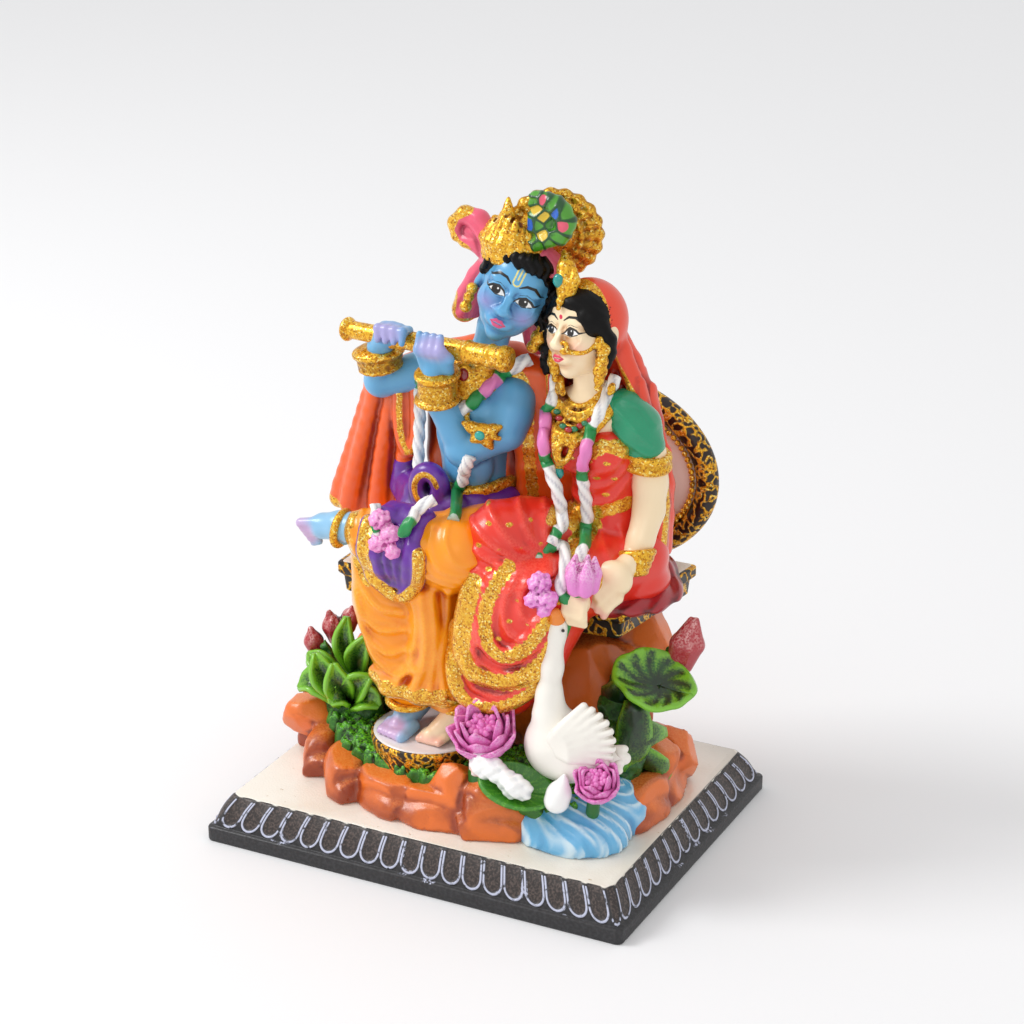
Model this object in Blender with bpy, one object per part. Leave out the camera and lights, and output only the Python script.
"""A flute player and a companion on a garden bench: one painted cast group on a moulded plinth."""

import math
import random

import bmesh
import bpy
from mathutils import Euler, Matrix, Vector

MM = 0.001

# Plinth, in millimetres
PLINTH_LENGTH = 160.0
PLINTH_DEPTH = 125.0
PLINTH_HEIGHT = 16.5
PLINTH_CORNER = 2.4
BAND_HEIGHT = 5.5
MOULDING_INSET = 7.0
TONGUES_PER_LONG_SIDE = 19
TONGUES_PER_SHORT_SIDE = 14
TONGUE_RELIEF = 0.9
STEPS_PER_TONGUE = 3  # points along the perimeter, a count

# The cast group: its overall height sets the scale of the pose below
GROUP_HEIGHT = 217.0
GROUP_GAP = 0.3
DETAIL = 1.25
GROUP_TRIANGLES_KEPT = 0.031

# The pose is written in its own units, with the height measured from the table
POSE_FLOOR = 16.8
POSE_HEIGHT = 217.0
CUT_ALLOWANCE = 3.0
UNIT = MM * GROUP_HEIGHT / POSE_HEIGHT

# Bench, in pose units
SEAT_TOP = 92.0
SEAT_THICKNESS = 11.0
SEAT_LIP = 2.0
SEAT_CORNERS = ((-54.0, -12.0), (54.0, -6.0), (60.0, 42.0), (-54.0, 42.0))
BACK_CENTRE = Vector((20.0, 44.0, 122.0))
BACK_HALF_WIDTH = 42.0
BACK_HALF_HEIGHT = 31.0
BACK_PANEL = 5.0
BACK_FRAME = 4.2

# Garden, in pose units
ISLAND_OUTLINE = (
    (-60, -20), (-47, -32), (-29, -38), (-10, -42), (8, -43), (28, -42), (42, -43),
    (55, -38), (63, -22), (65, -4), (64, 14), (58, 28), (48, 39), (24, 46), (0, 47),
    (-28, 45), (-52, 38), (-66, 22), (-70, 4), (-68, -10),
)  # fmt: skip
GRASS_TOP = 29.0
WATER_STRETCH = range(5, 9)  # the outline points that stand in water, not on boulders
STOOL_CENTRE = Vector((-15.0, -17.0, 38.0))
STOOL_RADIUS = 20.5
STOOL_HEIGHT = 9.5


def clear_scene():
    for thing in list(bpy.data.objects):
        bpy.data.objects.remove(thing, do_unlink=True)


def principled(name, colour, roughness, metallic=0.0):
    material = bpy.data.materials.new(name)
    material.use_nodes = True
    shader = material.node_tree.nodes["Principled BSDF"]
    shader.inputs["Base Color"].default_value = (*colour, 1.0)
    shader.inputs["Roughness"].default_value = roughness
    shader.inputs["Metallic"].default_value = metallic
    return material


def add_object(name, bm, material):
    bmesh.ops.recalc_face_normals(bm, faces=bm.faces)
    mesh = bpy.data.meshes.new(name)
    bm.to_mesh(mesh)
    bm.free()
    mesh.materials.append(material)
    part = bpy.data.objects.new(name, mesh)
    bpy.context.scene.collection.objects.link(part)
    mesh.shade_smooth()
    mesh.set_sharp_from_angle(angle=math.radians(40))
    return part


# Shapes that the group is built from


def ball(bm, centre, radii, turn=(0, 0, 0), finer=0):
    """An ellipsoid; turn is in degrees about X, Y and Z."""
    if isinstance(radii, (int, float)):
        radii = (radii, radii, radii)
    place = (
        Matrix.Translation(Vector(centre))
        @ Euler([math.radians(angle) for angle in turn]).to_matrix().to_4x4()
        @ Matrix.Diagonal((*radii, 1.0))
    )
    bmesh.ops.create_icosphere(bm, subdivisions=2 + finer, radius=1.0, matrix=place)


def limb(bm, *stations):
    """Rounded cones that run from station to station; each is x, y, z and a radius."""
    for station in stations:
        ball(bm, station[:3], station[3])
    for first, last in zip(stations, stations[1:]):
        start, end = Vector(first[:3]), Vector(last[:3])
        run = end - start
        place = Matrix.Translation((start + end) / 2) @ run.to_track_quat("Z", "Y").to_matrix().to_4x4()
        bmesh.ops.create_cone(
            bm, cap_ends=True, segments=14, radius1=first[3], radius2=last[3], depth=run.length, matrix=place
        )


def folds(bm, top, bottom, count, radius, sag=0.0, spread=1.0):
    """Cloth folds: rounded ridges from the top line to the bottom line, bowed by sag towards -Y."""
    for i in range(count):
        share = i / (count - 1)
        start = Vector(top[0]).lerp(Vector(top[1]), share)
        end = Vector(bottom[0]).lerp(Vector(bottom[1]), share)
        middle = (start + end) / 2 + Vector((0, -sag, 0))
        width = radius * (1.0 if i % 2 else 0.72)
        limb(bm, (*start, width), (*middle, width), (*end, width * spread))


def prism(bm, outline, low, high, taper=1.0):
    """An upright block over an outline, its foot shrunk by taper about the middle of the outline."""
    middle = sum((Vector(point) for point in outline), Vector((0, 0))) / len(outline)
    rings = []
    for level, share in ((low, taper), (high, 1.0)):
        corners = [middle + (Vector(point) - middle) * share for point in outline]
        rings.append([bm.verts.new((corner.x, corner.y, level)) for corner in corners])
    bm.faces.new(rings[0][::-1])
    bm.faces.new(rings[1])
    count = len(outline)
    for i in range(count):
        j = (i + 1) % count
        bm.faces.new((rings[0][i], rings[0][j], rings[1][j], rings[1][i]))


def blossom(bm, centre, radius, petals, lean, rows=2):
    """A lotus: rows of upright petals round a middle, tipped over by lean degrees about X and Y."""
    turn = Euler((math.radians(lean[0]), math.radians(lean[1]), 0)).to_matrix()
    ball(bm, centre, radius * 0.45)
    for row in range(rows):
        reach = radius * (0.78 - 0.3 * row)
        lift = radius * (0.15 + 0.22 * row)
        for i in range(petals):
            angle = math.tau * (i + 0.5 * row) / petals
            root = Vector(centre)
            tip = root + turn @ Vector((reach * math.cos(angle), reach * math.sin(angle), lift + radius * 0.35))
            middle = root + turn @ Vector((reach * 0.75 * math.cos(angle), reach * 0.75 * math.sin(angle), lift * 0.6))
            limb(bm, (*root, radius * 0.2), (*middle, radius * 0.24), (*tip, radius * 0.12))


# The group, piece by piece of its subject


def bench(bm):
    lip = SEAT_THICKNESS * 0.4
    prism(bm, SEAT_CORNERS, SEAT_TOP - lip, SEAT_TOP)
    middle = sum((Vector(corner) for corner in SEAT_CORNERS), Vector((0, 0))) / 4
    shrunk = [
        middle + (Vector(corner) - middle) * (1 - SEAT_LIP / (Vector(corner) - middle).length)
        for corner in SEAT_CORNERS
    ]
    prism(bm, shrunk, SEAT_TOP - SEAT_THICKNESS, SEAT_TOP - lip / 2)
    ball(bm, BACK_CENTRE, (BACK_HALF_WIDTH, BACK_PANEL / 2, BACK_HALF_HEIGHT), finer=1)
    steps = 28
    rim = []
    for i in range(steps + 1):
        angle = math.tau * i / steps
        reach = Vector((BACK_HALF_WIDTH * math.cos(angle), 0, BACK_HALF_HEIGHT * math.sin(angle)))
        rim.append((*(BACK_CENTRE + reach), BACK_FRAME))
    limb(bm, *rim)


def garden(bm):
    rng = random.Random(7)
    outline = [Vector(point) for point in ISLAND_OUTLINE]
    prism(bm, outline, POSE_FLOOR - CUT_ALLOWANCE, GRASS_TOP, taper=0.97)
    # The rim of boulders; the front right stretch is water
    count = len(outline)
    for i, point in enumerate(outline):
        if i in WATER_STRETCH:
            continue
        following = outline[(i + 1) % count]
        for share in (0.0, 0.5):
            x, y = point.lerp(following, share) * 0.93
            size = 7.5 + 2.5 * rng.random()
            height = 6.5 + 2.5 * rng.random()
            ball(bm, (x, y, GRASS_TOP - 3.0), (size, size * 0.85, height), (0, 0, rng.uniform(0, 180)))
    # Rising left end, front boulder, rocks at the right and the mass under the bench
    for centre, radii in (
        ((-66, -12, 31), (11, 9, 9)), ((-70, 4, 33), (8, 9, 8)), ((4, -36, 32), (9, 7, 8)),
        ((17, -37, 29), (10, 6, 8)), ((59, 10, 30), (8, 8, 11)), ((60, 24, 26), (9, 8, 10)),
        ((-56, 24, 36), (12, 14, 15)), ((-34, 20, 50), (20, 20, 22)), ((0, 20, 48), (28, 20, 24)),
        ((30, 22, 50), (24, 18, 20)), ((34, 8, 56), (14, 10, 14)), ((-40, 10, 66), (15, 16, 18)),
        ((-14, 24, 68), (22, 14, 17)), ((14, 26, 66), (22, 13, 19)), ((40, 28, 68), (15, 12, 17)),
        ((-46, 30, 58), (12, 12, 14)), ((-20, 38, 40), (18, 9, 14)), ((22, 38, 38), (20, 9, 13)),
    ):  # fmt: skip
        ball(bm, centre, radii)
    # Water, a low mound over the front right of the rim
    ball(bm, (46, -30, 21), (20, 15, 9))
    ball(bm, (50, -12, 22), (16, 16, 12))
    # Round foot stool
    low, high = STOOL_CENTRE.z - STOOL_HEIGHT, STOOL_CENTRE.z
    steps = 24
    ring = []
    for i in range(steps):
        angle = math.tau * i / steps
        ring.append(STOOL_CENTRE.xy + STOOL_RADIUS * Vector((math.cos(angle), math.sin(angle))))
    prism(bm, ring, low - 6, high, taper=0.93)
    # Shrub, stems and red buds at the left
    for x, y, z in ((-58, -8, 44), (-64, -2, 44), (-50, -4, 50), (-60, 4, 50), (-46, -10, 42), (-48, 2, 62)):
        ball(bm, (x, y, z), (8, 7, 10))
    for x, y, z in ((-63, 0, 60), (-69, -4, 55), (-56, -6, 55)):
        limb(bm, (-58, 0, 44, 4), (x, y, z - 2, 3.4), (x, y, z + 4, 2.2))
    # Leaves and the big red bud at the right
    ball(bm, (62, -8, 68), (15, 11, 3.4), (38, 20, 10))
    limb(bm, (52, -6, 28, 8), (56, -6, 42, 7), (60, -6, 62, 4))
    ball(bm, (52, -2, 47), (14, 9, 5), (20, 10, 0))
    ball(bm, (50, 6, 60), (10, 9, 12))
    limb(bm, (60, 4, 62, 4), (69, 6, 76, 5), (73, 6, 85, 5), (75, 6, 91, 2.2))
    # Lotus flowers, lily pad and the white buds on it
    blossom(bm, (17, -37, 49), 12, 8, (32, 0))
    limb(bm, (16, -34, 30, 8), (17, -36, 48, 5))
    blossom(bm, (57, -35, 42), 8.5, 6, (40, 14))
    limb(bm, (52, -32, 24, 6), (56, -34, 41, 4))
    ball(bm, (31, -43, 39), (13, 9, 3.5), (28, 12, 24))
    ball(bm, (26, -40, 32), (10, 6, 8))
    limb(bm, (20, -46, 46, 5), (27, -47, 43, 4.4), (33, -47, 41, 4.2))
    limb(bm, (47, -42, 38, 4.6), (48.6, -41, 45.5, 1.2))
    ball(bm, (46, -40, 32), (5, 5, 7))


def swan(bm):
    ball(bm, (43, -31, 52), (12.5, 10, 12), (0, -20, 10))
    limb(bm, (39, -32, 54, 8.5), (36.5, -33, 64, 5.6), (36.5, -33, 76, 3.6), (37.5, -32, 88, 3.1), (38, -31, 95, 3.2))
    limb(bm, (38, -31, 95, 3.0), (38.2, -32.5, 99, 1.8))
    ball(bm, (53, -31, 56), (11, 5, 7), (0, -28, 8))
    ball(bm, (60, -29, 52), (8, 4.5, 4.5), (0, -12, 0))


def flute_player(bm):
    # Torso and hips
    limb(bm, (-9, 9, 106, 17), (-8, 7, 118, 14), (-8, 5, 130, 12.4))
    limb(bm, (-8, 5, 130, 12.4), (-12, 3, 150, 12.5), (-3, 3, 148, 12.5), (-8, 5, 130, 12.4))
    limb(bm, (-20, 4, 166, 7.5), (-8, 4, 163, 10), (6, 3, 158, 7.5))
    limb(bm, (-6, 4, 166, 7.5), (0, 1, 176, 5.8), (3, -1, 184, 6.5))
    # Right arm raised to the far end of the flute, left arm bent across the chest
    limb(bm, (-20, 4, 166, 7.5), (-42, 1, 157, 6.2), (-38, -6, 172, 4.8), (-33, -9, 178, 4.8))
    ball(bm, (-30, -10, 179), (7, 4.5, 5))
    limb(bm, (7, 2, 158, 8.5), (7, -4, 148, 7.2), (-5, -10, 142, 6.2), (-11, -14, 160, 4.8), (-12, -16, 172, 4.6))
    ball(bm, (-12, -16, 177), (5.5, 5, 7))
    limb(bm, (-51, -6, 176, 3.0), (-36, -10, 176, 3.8), (14, -16, 178, 3.8))
    # Head, hair and neck lock
    ball(bm, (5, -2, 193), (11.6, 12.6, 15.2), (0, 24, 24), finer=1)
    ball(bm, (-8, 0, 193), (3, 4, 5))
    limb(bm, (17, 2, 184, 4), (21, 2, 176, 4), (21, 4, 168, 4))
    # Crown with its front peak, feather and scalloped fan
    ball(bm, (9, -1, 208), (14, 13, 9), (0, 20, 24))
    ball(bm, (6, 0, 216), (10.5, 9.5, 11), (0, 10, 0))
    limb(bm, (0, -8, 208, 5), (-2.5, -7, 222, 2.4))
    limb(bm, (12, 0, 218, 7), (13, 2, 226, 5))
    fan_centre = Vector((21.5, 5, 214.5))
    fan_turn = Euler((math.radians(12), 0, math.radians(22))).to_matrix()
    for i in range(14):
        angle = math.tau * i / 14
        spoke = fan_turn @ Vector((14.0 * math.cos(angle), 0, 16.0 * math.sin(angle)))
        limb(bm, (*fan_centre, 4.0), (*(fan_centre + spoke), 3.4))
    limb(bm, (17, -5, 210, 4.4), (22, -3, 219, 5.4), (18, -3, 227, 3.4))
    limb(bm, (15, 0, 204, 6), (24, 2, 202, 6))
    # Turban cloth: bow loop and the tail beside the ear
    limb(bm, (-4, 2, 209, 4), (-12, 4, 214, 3.6), (-18, 4, 216, 3.2))
    limb(bm, (-12, 4, 214, 3.2), (-19, 3, 210, 3))
    folds(bm, ((-7, 2, 204), (-5, 6, 204)), ((-17, 3, 184), (-11, 4, 182)), 3, 3.2, spread=1.1)
    # Seat cloth, sash and belt
    limb(bm, (-34, 6, 106, 8), (-26, 10, 114, 11), (-8, 10, 110, 16), (8, 10, 110, 12))
    limb(bm, (-36, 2, 124, 4), (-24, -4, 122, 5), (-14, -6, 122, 5))
    limb(bm, (-24, -7, 130, 3.2), (-17, -9, 133, 3.4), (-12, -9, 126, 3.2))
    folds(bm, ((-26, -33, 118), (-16, -33, 118)), ((-24, -38, 97), (-12, -36, 95)), 3, 3.6)
    # Standing leg in its wrapped cloth
    limb(bm, (-22, 8, 104, 15), (-27, -20, 103, 14), (-28, -22, 90, 15), (-24, -20, 70, 13.5), (-20, -18, 55, 11.5))
    folds(bm, ((-36, -26, 98), (-8, -28, 96)), ((-28, -27, 52), (-8, -25, 50)), 6, 3.4, sag=4.0)
    limb(bm, (-10, -20, 90, 9), (-7, -22, 70, 8), (-4, -22, 54, 6.5))
    # Crossed leg with the foot at the left
    limb(bm, (4, 8, 108, 14), (2, -22, 110, 13), (-2, -27, 110, 12.5), (-22, -28, 112, 11), (-36, -27, 113, 7.5))
    limb(bm, (-38, -26, 113, 5.6), (-46, -26, 112, 5.0), (-53, -25, 110, 4.6), (-56, -26, 107, 3.0))
    # Right foot on the stool
    limb(bm, (-21, -20, 50, 6), (-22, -25, 44, 5), (-24, -31, 41, 4.4))
    # Shawl behind the right arm, falling in deep folds, and its other end behind the left side
    folds(bm, ((-50, 6, 152), (-24, 8, 156)), ((-66, 8, 108), (-36, 8, 106)), 6, 4.6, sag=2.0, spread=1.25)
    limb(bm, (-26, 2, 168, 4.5), (-24, 4, 152, 5), (-26, 5, 138, 4))
    folds(bm, ((8, 9, 166), (22, 10, 160)), ((6, 12, 108), (28, 12, 106)), 4, 5.0, spread=1.2)
    limb(bm, (-20, 10, 166, 6), (-2, 12, 168, 6), (14, 10, 166, 6))


def companion(bm):
    # Body on the bench
    limb(bm, (44, 10, 105, 17), (42, 8, 118, 13.5), (41, 5, 130, 12.5))
    limb(bm, (41, 5, 130, 12.5), (43, 2, 146, 12.5), (34, 0, 148, 11.5), (41, 5, 130, 12.5))
    limb(bm, (28, 2, 158, 6.5), (38, 3, 160, 8), (50, 5, 157, 7))
    limb(bm, (37, 2, 160, 6.5), (36.5, 1, 170, 5.4), (36, 0, 178, 6))
    # Left arm down to the bench, right arm to the flower in the lap
    limb(bm, (51, 5, 156, 8.5), (56, 5, 148, 8.8), (59, 5, 141, 7.6), (61.5, 3, 128, 5.0), (56, -6, 112, 4.2))
    ball(bm, (51, -11, 101), (7, 5.5, 5), (0, 35, 0))
    limb(bm, (28, 0, 156, 7.5), (24, -6, 140, 7), (30, -18, 124, 5.5), (41, -26, 107, 4.6))
    ball(bm, (45, -27, 100), (5, 4.5, 6))
    # Head under the veil
    ball(bm, (36.5, -1, 186.5), (10.6, 12.2, 14.6), (0, -4, -12), finer=1)
    ball(bm, (38.5, 3, 189.5), (12.8, 12.2, 14.6), (0, 0, -12), finer=1)
    limb(bm, (33, -6, 199, 4.5), (31.5, -7, 206, 3.8), (31, -6, 211, 1.8))
    # Veil over the shoulders and down the back
    folds(bm, ((30, 12, 186), (49, 8, 184)), ((26, 16, 120), (60, 18, 106)), 5, 6.4, spread=1.2)
    limb(bm, (50, 4, 182, 4), (56, 7, 166, 5.5), (64, 13, 140, 5), (66, 16, 108, 6))
    folds(bm, ((24, 4, 176), (22, 6, 170)), ((24, 6, 146), (20, 8, 140)), 2, 5.0)
    # Lap, high right knee and the left knee
    limb(bm, (36, 8, 108, 15), (20, -16, 116, 12.5), (16, -22, 118, 11.5), (14, -22, 104, 12))
    limb(bm, (48, 8, 106, 15), (42, -14, 104, 13), (34, -24, 100, 12), (26, -26, 88, 12))
    # Skirt sweeping down to the left, with its hem bands
    folds(bm, ((8, -24, 108), (40, -22, 100)), ((-4, -26, 54), (18, -30, 62)), 7, 6.0, sag=5.0)
    limb(bm, (36, -20, 96, 10), (30, -24, 80, 10), (14, -26, 62, 9))
    limb(bm, (38, -14, 90, 9), (38, -18, 78, 6))
    limb(bm, (0, -22, 84, 9), (-2, -24, 66, 8), (2, -24, 54, 6.5))
    ball(bm, (10, -22, 70), (16, 11, 18))
    # Feet on the stool
    limb(bm, (0, -22, 52, 6), (-6, -26, 45, 4.6), (-9, -31, 41.5, 4))
    # Cloth on the seat
    ball(bm, (52, 8, 97), (11, 16, 7))
    # Flowers in the lap
    ball(bm, (51, -27, 113), (6.5, 5.5, 6))
    ball(bm, (37, -31, 107), (6, 4.5, 7))


def cast_group():
    bm = bmesh.new()
    bench(bm)
    garden(bm)
    swan(bm)
    flute_player(bm)
    companion(bm)
    bmesh.ops.translate(bm, verts=bm.verts, vec=(0, 0, -POSE_FLOOR))
    bmesh.ops.scale(bm, verts=bm.verts, vec=(UNIT, UNIT, UNIT))
    bmesh.ops.translate(bm, verts=bm.verts, vec=(0, 0, (PLINTH_HEIGHT + GROUP_GAP) * MM))
    part = add_object("figure_group", bm, principled("painted resin", (0.72, 0.36, 0.14), 0.42))
    fuse = part.modifiers.new("fuse", "REMESH")
    fuse.mode = "VOXEL"
    fuse.voxel_size = DETAIL * UNIT
    fuse.use_smooth_shade = True
    soften = part.modifiers.new("soften", "SMOOTH")
    soften.factor = 0.5
    soften.iterations = 2
    thin = part.modifiers.new("thin", "DECIMATE")
    thin.ratio = GROUP_TRIANGLES_KEPT
    flatten = part.modifiers.new("flatten", "BOOLEAN")
    flatten.operation = "DIFFERENCE"
    flatten.object = floor_cutter()
    return part


def floor_cutter():
    """The block that takes off whatever hangs below the flat foot of the group."""
    depth = 4 * CUT_ALLOWANCE * MM
    bm = bmesh.new()
    size = Matrix.Diagonal((PLINTH_LENGTH * 2 * MM, PLINTH_DEPTH * 2 * MM, depth, 1.0))
    bmesh.ops.create_cube(bm, size=1.0, matrix=size)
    cutter = add_object("floor_cutter", bm, principled("cutter", (0.5, 0.5, 0.5), 0.5))
    cutter.location.z = (PLINTH_HEIGHT + GROUP_GAP) * MM - depth / 2
    cutter.hide_render = True
    cutter.display_type = "WIRE"
    return cutter


# Plinth


def perimeter(length, depth, inset, per_long, per_short):
    """Points round a rectangle with small round corners, with a fixed number to each side."""
    half_x, half_y = length / 2 - inset - PLINTH_CORNER, depth / 2 - inset - PLINTH_CORNER
    corner_steps = 3
    points = []
    sides = (
        ((-1, -1), (1, -1), per_long), ((1, -1), (1, 1), per_short),
        ((1, 1), (-1, 1), per_long), ((-1, 1), (-1, -1), per_short),
    )  # fmt: skip
    for start, end, count in sides:
        outward = Vector((start[0] + end[0], start[1] + end[1])) / 2
        for i in range(count):
            share = i / (count - 1)
            first, last = Vector((start[0] * half_x, start[1] * half_y)), Vector((end[0] * half_x, end[1] * half_y))
            centre = first.lerp(last, share)
            points.append((centre + outward * PLINTH_CORNER, outward))
        base = math.atan2(outward.y, outward.x)
        for step in range(1, corner_steps):
            angle = base + math.pi / 2 * step / corner_steps
            aim = Vector((math.cos(angle), math.sin(angle)))
            points.append((Vector((end[0] * half_x, end[1] * half_y)) + aim * PLINTH_CORNER, aim))
    return points


def plinth():
    """Rings of points from the foot up: a plain band, a slope of raised tongues, then the flat top."""
    slope = PLINTH_HEIGHT - BAND_HEIGHT
    profile = (
        (0.5, 0.0, 0.0), (0.0, 0.6, 0.0), (0.0, BAND_HEIGHT - 0.5, 0.0), (1.2, BAND_HEIGHT, 0.0),
        (0.30 * MOULDING_INSET, BAND_HEIGHT + 0.10 * slope, 0.6),
        (0.48 * MOULDING_INSET, BAND_HEIGHT + 0.42 * slope, 1.0),
        (0.80 * MOULDING_INSET, BAND_HEIGHT + 0.78 * slope, 0.8),
        (MOULDING_INSET, PLINTH_HEIGHT - 0.4, 0.0), (MOULDING_INSET + 0.4, PLINTH_HEIGHT, 0.0),
    )  # fmt: skip
    bm = bmesh.new()
    per_long = STEPS_PER_TONGUE * TONGUES_PER_LONG_SIDE + 1
    per_short = STEPS_PER_TONGUE * TONGUES_PER_SHORT_SIDE + 1
    rings = []
    for inset, height, relief in profile:
        ring = []
        for i, (point, outward) in enumerate(perimeter(PLINTH_LENGTH, PLINTH_DEPTH, inset, per_long, per_short)):
            crest = relief * TONGUE_RELIEF if side_step(i, per_long, per_short) > 0 else 0.0
            spot = point + outward * crest
            ring.append(bm.verts.new((spot.x * MM, spot.y * MM, height * MM)))
        rings.append(ring)
    count = len(rings[0])
    for low, high in zip(rings, rings[1:]):
        for i in range(count):
            j = (i + 1) % count
            bm.faces.new((low[i], low[j], high[j], high[i]))
    bm.faces.new(rings[0][::-1])
    bm.faces.new(rings[-1])
    return add_object("plinth", bm, principled("plinth paint", (0.78, 0.75, 0.68), 0.5))


def side_step(index, per_long, per_short):
    """Where a perimeter point falls within its tongue: 0 in the groove, above 0 on the tongue."""
    corner_points = 2
    for count in (per_long, per_short, per_long, per_short):
        if index < count:
            return index % STEPS_PER_TONGUE
        index -= count
        if index < corner_points:
            return 0
        index -= corner_points
    return 0


def main():
    clear_scene()
    plinth()
    cast_group()


main()
